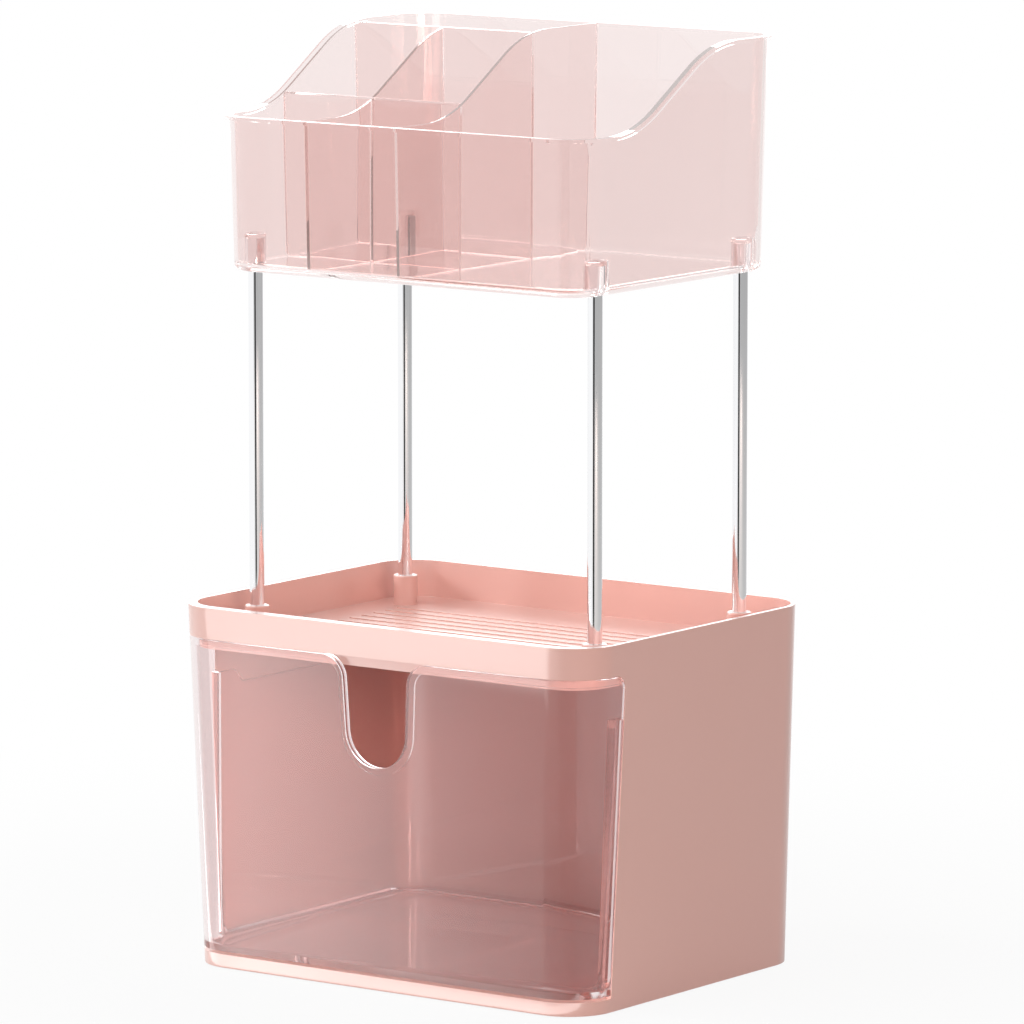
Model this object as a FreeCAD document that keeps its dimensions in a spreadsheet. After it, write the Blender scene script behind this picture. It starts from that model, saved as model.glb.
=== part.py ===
import FreeCAD, Part
import math
import os
import Sketcher

# Desktop organizer: a one-piece cabinet with a shallow tray on top and one clear drawer in
# front, four chrome tubes, and a clear open bin carried on the tubes.
# Millimetres. X to the right, Y to the back, Z up. The origin is the middle of the footprint,
# on the surface that the rubber feet stand on.

SIZES = (
    ("foot_proud", 1.0, "gap between the resting surface and the cabinet's lower edge"),
    ("foot_radius", 7.0, "rubber foot"),
    ("foot_chamfer", 0.8, "rubber foot, lower edge"),
    ("foot_side", 104.0, "foot centre to the middle plane"),
    ("foot_front", -76.0, "front feet, Y"),
    ("foot_back", 70.0, "back feet, Y"),
    ("base_width", 260.0, "cabinet at its rim"),
    ("base_depth", 200.0, "cabinet at its rim"),
    ("cabinet_height", 185.2, "lower edge to rim"),
    ("side_draft", 6.0, "each side leans in by this much from rim to lower edge"),
    ("front_draft", 5.2, "the front leans in by this much from rim to lower edge"),
    ("corner_radius", 25.0, "vertical corners of the cabinet at the rim"),
    ("corner_radius_low", 24.0, "vertical corners of the cabinet at the lower edge"),
    ("wall", 2.5, "cabinet wall, tray floor and bay floor"),
    ("rim_front", 6.5, "front wall of the tray, thick enough to back the drawer panel"),
    ("tray_depth", 19.0, "rim to tray floor"),
    ("tray_draft", 1.5, "tray walls lean out by this much"),
    ("tray_radius", 22.0, "vertical corners inside the tray"),
    ("ledge_height", 5.5, "step inside the tray's front corners, over the drawer panel"),
    ("ledge_inset", 7.3, "inner face of that step, from the outer face"),
    ("ledge_back", -58.0, "rear end of that step, Y"),
    ("fascia_height", 16.0, "rim to the top of the front opening"),
    ("lip_height", 7.0, "lower edge to the bottom of the front opening"),
    ("skirt", 3.0, "wall around the hollow underside"),
    ("bay_radius", 18.0, "vertical corners inside the drawer bay"),
    ("runner_width", 5.0, "rails that carry the drawer"),
    ("runner_height", 1.2, "rails that carry the drawer"),
    ("runner_side", 95.0, "rail centre to the middle plane"),
    ("runner_front", -86.0, "front end of a rail, Y"),
    ("runner_back", 80.0, "rear end of a rail, Y"),
    ("rib_count", 11, "anti-slip ribs on the tray floor"),
    ("rib_pitch", 10.2, "rib to rib"),
    ("rib_first", -47.5, "first rib, Y"),
    ("rib_length", 200.0, "along X"),
    ("rib_width", 3.0, "along Y"),
    ("rib_height", 0.6, "above the tray floor"),
    ("tube_radius", 3.75, "chrome tube"),
    ("tube_bore", 3.15, "inside of the tube"),
    ("tube_side", 105.6, "tube centre to the middle plane"),
    ("tube_half_pitch", 63.0, "half of the front to back distance of the tubes"),
    ("tube_middle", 5.0, "middle of the four tubes, Y"),
    ("press", 0.03, "interference of a tube in its sockets, on the radius"),
    ("boss_radius", 6.3, "bosses in the tray"),
    ("boss_height", 15.5, "bosses above the tray floor"),
    ("boss_edge", 0.8, "rounded top edge of bosses and sockets"),
    ("return_bottom", -70.2, "rear edge of the drawer's side return, lower end, Y"),
    ("return_slant", 1.8, "degrees by which that edge leans to the back"),
    ("return_radius", 6.5, "top rear corner of the return"),
    ("reach", 30.0, "how far cutting prisms run past the solids"),
    ("bury", 1.0, "how far an added form starts inside the wall that it grows from"),
    ("drawer_gap", 0.5, "drawer panel to cabinet"),
    ("drawer_lift", 1.5, "bay floor to drawer"),
    ("panel", 3.0, "drawer front panel"),
    ("panel_lip", 1.2, "extra thickness of the panel's rim, on its inside"),
    ("panel_rim", 3.6, "height of that rim"),
    ("panel_pocket", 4.7, "depth of the cabinet's seat for the panel"),
    ("drawer_wall", 2.5, "drawer tub"),
    ("drawer_floor", 3.0, "drawer tub"),
    ("tub_side", 120.2, "outer face of the tub's sides at its underside"),
    ("tub_back", 90.0, "outer face of the tub's back at its underside, Y"),
    ("tub_draft", 3.2, "each wall leans out by this much up to the ears"),
    ("tub_front", -80.0, "front end of the tub's sides inside the panel, Y"),
    ("cavity_front", -89.5, "front end of the tub's cavity, within the panel's own hollow, Y"),
    ("tub_radius", 14.0, "vertical corners of the tub at its underside"),
    ("tub_inner_edge", 6.0, "rounded edge between the tub's floor and walls, inside"),
    ("ear_top", 147.7, "top of the tub's ears"),
    ("ear_back", -55.0, "rear end of an ear at its top, Y"),
    ("side_top", 140.7, "top of the tub's sides behind the ears"),
    ("ear_slope_back", -48.5, "rear end of an ear at its foot, Y"),
    ("notch_floor", 114.5, "lowest point of the finger notch"),
    ("notch_radius", 18.7, "round bottom of the finger notch"),
    ("notch_flare", 3.0, "degrees by which its sides open upwards"),
    ("shoulder_radius", 12.0, "rounded shoulders of the notch"),
    ("bin_low", 355.7, "underside of the bin"),
    ("bin_high", 474.7, "rim of the bin at the back"),
    ("bin_front_rim", 434.2, "rim of the bin at the front"),
    ("bin_width", 223.3, "bin at its underside"),
    ("bin_depth", 169.2, "bin at its underside"),
    ("bin_radius", 18.2, "vertical corners of the bin at its underside"),
    ("bin_draft", 3.2, "each wall leans out by this much over the full height"),
    ("bin_wall", 2.0, "bin"),
    ("bin_floor", 2.6, "bin"),
    ("bin_bottom_edge", 3.5, "rounded lower edge, outside"),
    ("bin_inner_edge", 2.5, "rounded lower edge, inside"),
    ("sweep_front", -57.0, "where the side rim starts to rise, Y"),
    ("sweep_back", 48.0, "where the side rim is level again, Y"),
    ("sweep_radius", 70.0, "both arcs of the side rim"),
    ("flange_out", 2.7, "rim flange, beyond the wall"),
    ("flange_thick", 1.8, "rim flange"),
    ("socket_radius", 6.0, "sockets inside the bin"),
    ("socket_height", 17.5, "sockets above the underside"),
    ("socket_depth", 15.0, "how far a tube enters"),
    ("plate", 2.0, "divider plates"),
    ("short_divider_x", -56.0, "front and middle dividers, X"),
    ("low_wall_y", -25.5, "low cross wall, Y"),
    ("tall_wall_y", 35.5, "tall cross wall, Y"),
)

doc = FreeCAD.newDocument("organizer")
sheet = doc.addObject("Spreadsheet::Sheet", "Sizes")
for row, (alias, number, meaning) in enumerate(SIZES, start=1):
    sheet.set(f"A{row}", meaning)
    sheet.set(f"B{row}", str(number))
    sheet.setAlias(f"B{row}", alias)
doc.recompute()


def cell(alias):
    return f"Sizes.{alias}"


# Heights that several parts share, as expressions on the sheet.
LOWER_EDGE = "Sizes.foot_proud"
RIM = "(Sizes.foot_proud + Sizes.cabinet_height)"
TRAY_FLOOR = f"({RIM} - Sizes.tray_depth)"
BOSS_TOP = f"({TRAY_FLOOR} + Sizes.boss_height)"
BAY_FLOOR = "(Sizes.foot_proud + Sizes.lip_height)"
BAY_CEILING = f"({TRAY_FLOOR} - Sizes.wall)"
OPENING_TOP = f"({RIM} - Sizes.fascia_height)"
DRAWER_BOTTOM = f"({BAY_FLOOR} + Sizes.drawer_lift)"
DRAWER_FLOOR = f"({DRAWER_BOTTOM} + Sizes.drawer_floor)"
PANEL_TOP = f"({OPENING_TOP} - Sizes.drawer_gap)"
BIN_FLOOR = "(Sizes.bin_low + Sizes.bin_floor)"
FRONT = "(-Sizes.base_depth / 2)"
BACK = "(Sizes.base_depth / 2)"
EAR_TALL = f"(Sizes.ear_top - {DRAWER_BOTTOM})"


def side_at(height):
    """Half width of the drafted cabinet at a height."""
    return f"(Sizes.base_width / 2 - Sizes.side_draft * ({RIM} - ({height})) / Sizes.cabinet_height)"


def front_at(height):
    """Front face of the drafted cabinet at a height."""
    return f"({FRONT} + Sizes.front_draft * ({RIM} - ({height})) / Sizes.cabinet_height)"


# ---------------------------------------------------------------- sketching helpers

def new_body(name):
    return doc.addObject("PartDesign::Body", name)


def sketch_on(body, name, role, offset="0"):
    """Empty sketch on one of the body's own origin planes, moved along the plane's normal."""
    sketch = body.newObject("Sketcher::SketchObject", name)
    plane = next(item for item in body.Origin.OriginFeatures if item.Role == role)
    sketch.AttachmentSupport = [(plane, "")]
    sketch.MapMode = "FlatFace"
    sketch.setExpression("AttachmentOffset.Base.z", offset)
    return sketch


def number(expression):
    """Present value of an expression on the sheet."""
    return float(sheet.evalExpression(expression.replace("Sizes.", "")))


def constrain(sketch, name, constraint, expression):
    """Adds a constraint whose value follows the sheet."""
    index = sketch.addConstraint(constraint)
    sketch.renameConstraint(index, name)
    sketch.setExpression(f"Constraints.{name}", expression)


def line(sketch, start, end):
    return sketch.addGeometry(Part.LineSegment(FreeCAD.Vector(*start, 0), FreeCAD.Vector(*end, 0)))


def arc(sketch, centre, radius, first, last):
    """Counter-clockwise arc between two angles in degrees."""
    circle = Part.Circle(FreeCAD.Vector(*centre, 0), FreeCAD.Vector(0, 0, 1), radius)
    return sketch.addGeometry(Part.ArcOfCircle(circle, math.radians(first), math.radians(last)))


def join(sketch, *ends):
    """Coincident end points: first element's end with the next one's start, given as pairs."""
    for (first, first_end), (second, second_end) in ends:
        sketch.addConstraint(Sketcher.Constraint("Coincident", first, first_end, second, second_end))


def tangent(sketch, *ends):
    for (first, first_end), (second, second_end) in ends:
        sketch.addConstraint(Sketcher.Constraint("Tangent", first, first_end, second, second_end))


def rounded_outline(body, name, height, half_width, front, back, radius):
    """Level rounded rectangle, even about the middle plane."""
    sketch = sketch_on(body, name, "XY_Plane", height)
    w, f, b, r = (number(item) for item in (half_width, front, back, radius))
    front_line = line(sketch, (r - w, f), (w - r, f))
    right_line = line(sketch, (w, f + r), (w, b - r))
    back_line = line(sketch, (w - r, b), (r - w, b))
    left_line = line(sketch, (-w, b - r), (-w, f + r))
    front_right = arc(sketch, (w - r, f + r), r, 270, 360)
    back_right = arc(sketch, (w - r, b - r), r, 0, 90)
    back_left = arc(sketch, (r - w, b - r), r, 90, 180)
    front_left = arc(sketch, (r - w, f + r), r, 180, 270)
    tangent(
        sketch,
        ((front_line, 2), (front_right, 1)), ((front_right, 2), (right_line, 1)),
        ((right_line, 2), (back_right, 1)), ((back_right, 2), (back_line, 1)),
        ((back_line, 2), (back_left, 1)), ((back_left, 2), (left_line, 1)),
        ((left_line, 2), (front_left, 1)), ((front_left, 2), (front_line, 1)),
    )
    for corner in (back_right, back_left, front_left):
        sketch.addConstraint(Sketcher.Constraint("Equal", front_right, corner))
    sketch.addConstraint(Sketcher.Constraint("Horizontal", front_line))
    sketch.addConstraint(Sketcher.Constraint("Horizontal", back_line))
    sketch.addConstraint(Sketcher.Constraint("Vertical", right_line))
    constrain(sketch, "radius", Sketcher.Constraint("Radius", front_right, r), radius)
    constrain(sketch, "right", Sketcher.Constraint("DistanceX", right_line, 1, w), half_width)
    constrain(sketch, "left", Sketcher.Constraint("DistanceX", left_line, 1, -w), f"-({half_width})")
    constrain(sketch, "front", Sketcher.Constraint("DistanceY", front_line, 1, f), front)
    constrain(sketch, "back", Sketcher.Constraint("DistanceY", back_line, 1, b), back)
    return sketch


def loft(body, name, kind, lower, upper):
    feature = body.newObject(f"PartDesign::{kind}Loft", name)
    feature.Profile = lower
    feature.Sections = [upper]
    feature.Ruled = True
    return feature


def extrude(body, name, kind, sketch, length, both_ways=False, reverse=False):
    feature = body.newObject(f"PartDesign::{kind}", name)
    feature.Profile = sketch
    feature.setExpression("Length", length)
    feature.SideType = "Symmetric" if both_ways else "One side"
    feature.Reversed = reverse
    return feature


def circles(body, name, height, radius, centres):
    """Level sketch of equal circles at (x, y) pairs of expressions."""
    sketch = sketch_on(body, name, "XY_Plane", height)
    first = None
    for index, (x, y) in enumerate(centres):
        centre = FreeCAD.Vector(number(x), number(y), 0)
        round_edge = sketch.addGeometry(Part.Circle(centre, FreeCAD.Vector(0, 0, 1), number(radius)))
        constrain(sketch, f"x{index}", Sketcher.Constraint("DistanceX", round_edge, 3, centre.x), x)
        constrain(sketch, f"y{index}", Sketcher.Constraint("DistanceY", round_edge, 3, centre.y), y)
        if first is None:
            first = round_edge
            constrain(sketch, "radius", Sketcher.Constraint("Radius", first, number(radius)), radius)
        else:
            sketch.addConstraint(Sketcher.Constraint("Equal", first, round_edge))
    return sketch


def rectangle(sketch, tag, left, right, low, high):
    """Axis-parallel rectangle from four expressions."""
    x0, x1, y0, y1 = (number(item) for item in (left, right, low, high))
    bottom_side = line(sketch, (x0, y0), (x1, y0))
    right_side = line(sketch, (x1, y0), (x1, y1))
    top_side = line(sketch, (x1, y1), (x0, y1))
    left_side = line(sketch, (x0, y1), (x0, y0))
    join(
        sketch,
        ((bottom_side, 2), (right_side, 1)), ((right_side, 2), (top_side, 1)),
        ((top_side, 2), (left_side, 1)), ((left_side, 2), (bottom_side, 1)),
    )
    for level in (bottom_side, top_side):
        sketch.addConstraint(Sketcher.Constraint("Horizontal", level))
    for upright in (right_side, left_side):
        sketch.addConstraint(Sketcher.Constraint("Vertical", upright))
    constrain(sketch, f"{tag}_left", Sketcher.Constraint("DistanceX", bottom_side, 1, x0), left)
    constrain(sketch, f"{tag}_right", Sketcher.Constraint("DistanceX", bottom_side, 2, x1), right)
    constrain(sketch, f"{tag}_low", Sketcher.Constraint("DistanceY", bottom_side, 1, y0), low)
    constrain(sketch, f"{tag}_high", Sketcher.Constraint("DistanceY", top_side, 1, y1), high)


def edges_at(feature, height, keep=lambda edge: True):
    """Names of the feature's edges that lie level at a height."""
    doc.recompute()
    names = []
    for index, edge in enumerate(feature.Shape.Edges, start=1):
        box = edge.BoundBox
        if abs(box.ZMin - height) < 1e-4 and abs(box.ZMax - height) < 1e-4 and keep(edge):
            names.append(f"Edge{index}")
    return names


def round_edges(body, name, base, height, radius, keep=lambda edge: True):
    feature = body.newObject("PartDesign::Fillet", name)
    feature.Base = (base, edges_at(base, height, keep))
    feature.setExpression("Radius", radius)
    return feature


def combine(kind, name, first, second):
    """Part::Cut, Part::Fuse or Part::Common of two objects."""
    result = doc.addObject(f"Part::{kind}", name)
    result.Base = first
    result.Tool = second
    return result


TUBES = {
    "front_left": ("-Sizes.tube_side", "Sizes.tube_middle - Sizes.tube_half_pitch"),
    "front_right": ("Sizes.tube_side", "Sizes.tube_middle - Sizes.tube_half_pitch"),
    "back_left": ("-Sizes.tube_side", "Sizes.tube_middle + Sizes.tube_half_pitch"),
    "back_right": ("Sizes.tube_side", "Sizes.tube_middle + Sizes.tube_half_pitch"),
}
FEET = {
    "front_left": ("-Sizes.foot_side", "Sizes.foot_front"),
    "front_right": ("Sizes.foot_side", "Sizes.foot_front"),
    "back_left": ("-Sizes.foot_side", "Sizes.foot_back"),
    "back_right": ("Sizes.foot_side", "Sizes.foot_back"),
}


# ---------------------------------------------------------------- cabinet
# One opaque moulding: drafted walls with large round corners, a tray sunk into the top with
# four bosses for the tubes, and a drawer bay that is open at the front and round both corners.

def envelope(name, inset):
    """The cabinet's outer form, moved in all round by an inset, as a body of its own."""
    body = new_body(name)
    low = rounded_outline(
        body, f"{name}_low", LOWER_EDGE, f"({side_at(LOWER_EDGE)} - ({inset}))",
        f"({front_at(LOWER_EDGE)} + ({inset}))", f"({BACK} - ({inset}))",
        f"(Sizes.corner_radius_low - ({inset}))")
    high = rounded_outline(
        body, f"{name}_high", RIM, f"({side_at(RIM)} - ({inset}))", f"({FRONT} + ({inset}))",
        f"({BACK} - ({inset}))", f"(Sizes.corner_radius - ({inset}))")
    loft(body, f"{name}_form", "Additive", low, high)
    return body


def corner_band(body, name, height, outer, inner, rear):
    """U-shaped band round the front and both front corners, between two insets of the rim."""
    sketch = sketch_on(body, name, "XY_Plane", height)
    turned = number(rear)
    half = number(side_at(RIM))
    front = number(FRONT)
    rounding = number("Sizes.corner_radius")
    elements = []
    for inset, way in ((number(outer), 1), (number(inner), -1)):
        w, f, r = half - inset, front + inset, rounding - inset
        left_arc = arc(sketch, (r - w, f + r), r, 180, 270)
        right_arc = arc(sketch, (w - r, f + r), r, 270, 360)
        left_line = line(sketch, (-w, turned), (-w, f + r))
        front_line = line(sketch, (r - w, f), (w - r, f))
        right_line = line(sketch, (w, f + r), (w, turned))
        tangent(
            sketch,
            ((left_line, 2), (left_arc, 1)), ((left_arc, 2), (front_line, 1)),
            ((front_line, 2), (right_arc, 1)), ((right_arc, 2), (right_line, 1)),
        )
        sketch.addConstraint(Sketcher.Constraint("Equal", left_arc, right_arc))
        sketch.addConstraint(Sketcher.Constraint("Horizontal", front_line))
        sketch.addConstraint(Sketcher.Constraint("Vertical", left_line))
        sketch.addConstraint(Sketcher.Constraint("Vertical", right_line))
        source = outer if way == 1 else inner
        tag = "outer" if way == 1 else "inner"
        half_width = f"({side_at(RIM)} - ({source}))"
        constrain(sketch, f"{tag}_left", Sketcher.Constraint("DistanceX", left_line, 1, -w), f"-{half_width}")
        constrain(sketch, f"{tag}_right", Sketcher.Constraint("DistanceX", right_line, 1, w), half_width)
        constrain(sketch, f"{tag}_front", Sketcher.Constraint("DistanceY", front_line, 1, f),
                  f"({FRONT} + ({source}))")
        constrain(sketch, f"{tag}_radius", Sketcher.Constraint("Radius", left_arc, r),
                  f"(Sizes.corner_radius - ({source}))")
        elements.append((w, left_line, right_line))
    (wide, left_out, right_out), (narrow, left_in, right_in) = elements
    left_end = line(sketch, (-wide, turned), (-narrow, turned))
    right_end = line(sketch, (narrow, turned), (wide, turned))
    join(
        sketch,
        ((left_end, 1), (left_out, 1)), ((left_end, 2), (left_in, 1)),
        ((right_end, 1), (right_in, 2)), ((right_end, 2), (right_out, 2)),
    )
    sketch.addConstraint(Sketcher.Constraint("Horizontal", left_end))
    sketch.addConstraint(Sketcher.Constraint("Horizontal", right_end))
    constrain(sketch, "rear_left", Sketcher.Constraint("DistanceY", left_end, 1, turned), rear)
    constrain(sketch, "rear_right", Sketcher.Constraint("DistanceY", right_end, 1, turned), rear)
    return sketch


cabinet_body = envelope("cabinet_shell", "0")

tray_low = rounded_outline(
    cabinet_body, "tray_low", TRAY_FLOOR, f"({side_at(TRAY_FLOOR)} - Sizes.wall - Sizes.tray_draft)",
    f"({front_at(TRAY_FLOOR)} + Sizes.rim_front + Sizes.tray_draft)",
    f"({BACK} - Sizes.wall - Sizes.tray_draft)", "(Sizes.tray_radius - Sizes.tray_draft)")
tray_high = rounded_outline(
    cabinet_body, "tray_high", RIM, f"({side_at(RIM)} - Sizes.wall)", f"({FRONT} + Sizes.rim_front)",
    f"({BACK} - Sizes.wall)", "Sizes.tray_radius")
tray = loft(cabinet_body, "tray", "Subtractive", tray_low, tray_high)

ledge_outline = corner_band(
    cabinet_body, "ledge_outline", f"({TRAY_FLOOR} - Sizes.bury)", "(Sizes.wall - Sizes.bury)",
    "Sizes.ledge_inset", "Sizes.ledge_back")
ledge = extrude(cabinet_body, "ledge", "Pad", ledge_outline, "(Sizes.ledge_height + Sizes.bury)")

boss_outline = circles(cabinet_body, "boss_outline", TRAY_FLOOR, "Sizes.boss_radius", TUBES.values())
bosses = extrude(cabinet_body, "bosses", "Pad", boss_outline, "Sizes.boss_height")
round_edges(cabinet_body, "boss_round", bosses, number(BOSS_TOP), "Sizes.boss_edge")
seat_outline = circles(cabinet_body, "seat_outline", BOSS_TOP, "(Sizes.tube_radius - Sizes.press)",
                       TUBES.values())
seats = extrude(cabinet_body, "seats", "Pocket", seat_outline, "Sizes.boss_height")

rib_outline = sketch_on(cabinet_body, "rib_outline", "XY_Plane", TRAY_FLOOR)
rectangle(rib_outline, "rib", "-Sizes.rib_length / 2", "Sizes.rib_length / 2",
          "(Sizes.rib_first - Sizes.rib_width / 2)", "(Sizes.rib_first + Sizes.rib_width / 2)")
rib = extrude(cabinet_body, "rib", "Pad", rib_outline, "Sizes.rib_height")
ribs = cabinet_body.newObject("PartDesign::LinearPattern", "ribs")
ribs.Originals = [rib]
ribs.Direction = (rib_outline, ["V_Axis"])
ribs.setExpression("Length", "(Sizes.rib_count - 1) * Sizes.rib_pitch")
ribs.setExpression("Occurrences", "Sizes.rib_count")
cabinet_body.Tip = ribs

bay_low = rounded_outline(
    cabinet_body, "bay_low", BAY_FLOOR, f"({side_at(BAY_FLOOR)} - Sizes.wall)", f"({FRONT} - Sizes.reach)",
    f"({BACK} - Sizes.wall)", "Sizes.bay_radius")
bay_high = rounded_outline(
    cabinet_body, "bay_high", BAY_CEILING, f"({side_at(BAY_CEILING)} - Sizes.wall)",
    f"({FRONT} - Sizes.reach)", f"({BACK} - Sizes.wall)", "Sizes.bay_radius")
bay = loft(cabinet_body, "bay", "Subtractive", bay_low, bay_high)

runner_outline = sketch_on(cabinet_body, "runner_outline", "XY_Plane", BAY_FLOOR)
for side_name, sign in (("right", ""), ("left", "-")):
    rectangle(runner_outline, side_name,
              f"({sign}Sizes.runner_side - Sizes.runner_width / 2)",
              f"({sign}Sizes.runner_side + Sizes.runner_width / 2)",
              "Sizes.runner_front", "Sizes.runner_back")
runners = extrude(cabinet_body, "runners", "Pad", runner_outline, "Sizes.runner_height")

underside_outline = rounded_outline(
    cabinet_body, "underside_outline", LOWER_EDGE, f"({side_at(LOWER_EDGE)} - Sizes.skirt)",
    f"({front_at(LOWER_EDGE)} + Sizes.skirt)", f"({BACK} - Sizes.skirt)",
    "(Sizes.corner_radius_low - Sizes.skirt)")
underside = extrude(cabinet_body, "underside", "Pocket", underside_outline,
                    "(Sizes.lip_height - Sizes.wall)", reverse=True)


def return_prism(name, bottom, top, rear, corner):
    """Side view of the drawer front, run right across: level top and bottom, leaning rear edge."""
    body = new_body(name)
    sketch = sketch_on(body, f"{name}_outline", "YZ_Plane")
    far = f"({FRONT} - Sizes.reach)"
    y0, y1, z0, z1, r = (number(item) for item in (far, rear, bottom, top, corner))
    lean = math.radians(number("Sizes.return_slant"))
    # Centre of the corner arc: r below the top, and r in front of the leaning edge.
    centre = (y1 + (z1 - r - z0) * math.tan(lean) - r / math.cos(lean), z1 - r)
    foot_edge = line(sketch, (y0, z0), (y1, z0))
    rear_edge = line(sketch, (y1, z0), (centre[0] + r * math.cos(lean), centre[1] - r * math.sin(lean)))
    corner_arc = arc(sketch, centre, r, -math.degrees(lean), 90)
    top_edge = line(sketch, (centre[0], z1), (y0, z1))
    front_edge = line(sketch, (y0, z1), (y0, z0))
    join(sketch, ((foot_edge, 2), (rear_edge, 1)), ((top_edge, 2), (front_edge, 1)),
         ((front_edge, 2), (foot_edge, 1)))
    tangent(sketch, ((rear_edge, 2), (corner_arc, 1)), ((corner_arc, 2), (top_edge, 1)))
    sketch.addConstraint(Sketcher.Constraint("Horizontal", foot_edge))
    sketch.addConstraint(Sketcher.Constraint("Horizontal", top_edge))
    sketch.addConstraint(Sketcher.Constraint("Vertical", front_edge))
    constrain(sketch, "far", Sketcher.Constraint("DistanceX", front_edge, 1, y0), far)
    constrain(sketch, "rear", Sketcher.Constraint("DistanceX", foot_edge, 2, y1), rear)
    constrain(sketch, "bottom", Sketcher.Constraint("DistanceY", foot_edge, 1, z0), bottom)
    constrain(sketch, "top", Sketcher.Constraint("DistanceY", top_edge, 1, z1), top)
    constrain(sketch, "corner", Sketcher.Constraint("Radius", corner_arc, r), corner)
    constrain(sketch, "lean", Sketcher.Constraint("Angle", rear_edge, math.pi / 2 - lean),
              "(90 - Sizes.return_slant) * 1 deg")
    extrude(body, f"{name}_form", "Pad", sketch, "(Sizes.base_width + 2 * Sizes.reach)", both_ways=True)
    return body


opening = return_prism("opening", BAY_FLOOR, OPENING_TOP, "(Sizes.return_bottom + Sizes.drawer_gap)",
                       "(Sizes.return_radius + Sizes.drawer_gap)")
panel_seat = combine("Cut", "panel_seat", opening, envelope("seat_core", "Sizes.panel_pocket"))
cabinet = combine("Cut", "cabinet", cabinet_body, panel_seat)


# ---------------------------------------------------------------- drawer
# One clear moulding: a front panel that wraps both front corners of the cabinet and ends in
# short side returns, and a tub behind it that runs inside the bay.

panel_prism = return_prism("panel_prism", DRAWER_BOTTOM, PANEL_TOP, "Sizes.return_bottom",
                           "Sizes.return_radius")
panel_block = combine("Common", "panel_block", panel_prism, envelope("panel_envelope", "0"))


def tub_form(name, low, inset, front, high):
    """The tub's drafted outline between two levels, moved in by an inset."""
    body = new_body(name)
    grown = f"(Sizes.tub_draft * (({low}) - {DRAWER_BOTTOM}) / {EAR_TALL} - ({inset}))"
    outline = rounded_outline(body, f"{name}_outline", low, f"(Sizes.tub_side + {grown})", front,
                              f"(Sizes.tub_back + {grown})", f"(Sizes.tub_radius + {grown})")
    form = extrude(body, f"{name}_form", "Pad", outline, f"(({high}) - ({low}))")
    form.setExpression("TaperAngle", f"atan(Sizes.tub_draft / {EAR_TALL})")
    return body


tub = tub_form("tub", DRAWER_BOTTOM, "0", "Sizes.tub_front", "Sizes.ear_top")
side_cut_outline = sketch_on(tub, "side_cut_outline", "YZ_Plane")
ear_points = (
    ("Sizes.ear_back", "(Sizes.ear_top + 1)"),
    ("Sizes.ear_back", "Sizes.ear_top"),
    ("Sizes.ear_slope_back", "Sizes.side_top"),
    ("(Sizes.tub_back + Sizes.reach)", "Sizes.side_top"),
    ("(Sizes.tub_back + Sizes.reach)", "(Sizes.ear_top + 1)"),
)
ear_lines = []
for index, (here, there) in enumerate(zip(ear_points, ear_points[1:] + ear_points[:1])):
    y, z = (number(item) for item in here)
    side = line(side_cut_outline, (y, z), tuple(number(item) for item in there))
    constrain(side_cut_outline, f"y{index}", Sketcher.Constraint("DistanceX", side, 1, y), here[0])
    constrain(side_cut_outline, f"z{index}", Sketcher.Constraint("DistanceY", side, 1, z), here[1])
    ear_lines.append(side)
for side, following in zip(ear_lines, ear_lines[1:] + ear_lines[:1]):
    side_cut_outline.addConstraint(Sketcher.Constraint("Coincident", side, 2, following, 1))
side_cut = extrude(tub, "side_cut", "Pocket", side_cut_outline, "(Sizes.base_width + 2 * Sizes.reach)",
                   both_ways=True)

drawer_block = combine("Fuse", "drawer_block", panel_block, tub)

# The hollow: the tub's own cavity, and the space inside the wrapped panel. A web stays between
# the return and the tub's side up to the ears.
tub_cavity = tub_form("tub_cavity", DRAWER_FLOOR, "Sizes.drawer_wall", "Sizes.cavity_front",
                      "(Sizes.ear_top + Sizes.reach)")
round_edges(tub_cavity, "tub_cavity_round", tub_cavity.Tip, number(DRAWER_FLOOR), "Sizes.tub_inner_edge",
            keep=lambda edge: edge.BoundBox.YMax > number("Sizes.cavity_front") + 1)


def hollow_prism(name, top):
    """What is taken out of the wrapped panel, up to a level, seen from the side."""
    body = return_prism(name, DRAWER_FLOOR, top, "(Sizes.return_bottom - Sizes.panel)", "1")
    upper = sketch_on(body, f"{name}_upper", "YZ_Plane")
    rectangle(upper, "upper", f"({FRONT} - Sizes.reach)", "Sizes.ear_slope_back", "Sizes.ear_top", top)
    extrude(body, f"{name}_above_web", "Pad", upper, "(Sizes.base_width + 2 * Sizes.reach)", both_ways=True)
    return body


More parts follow.
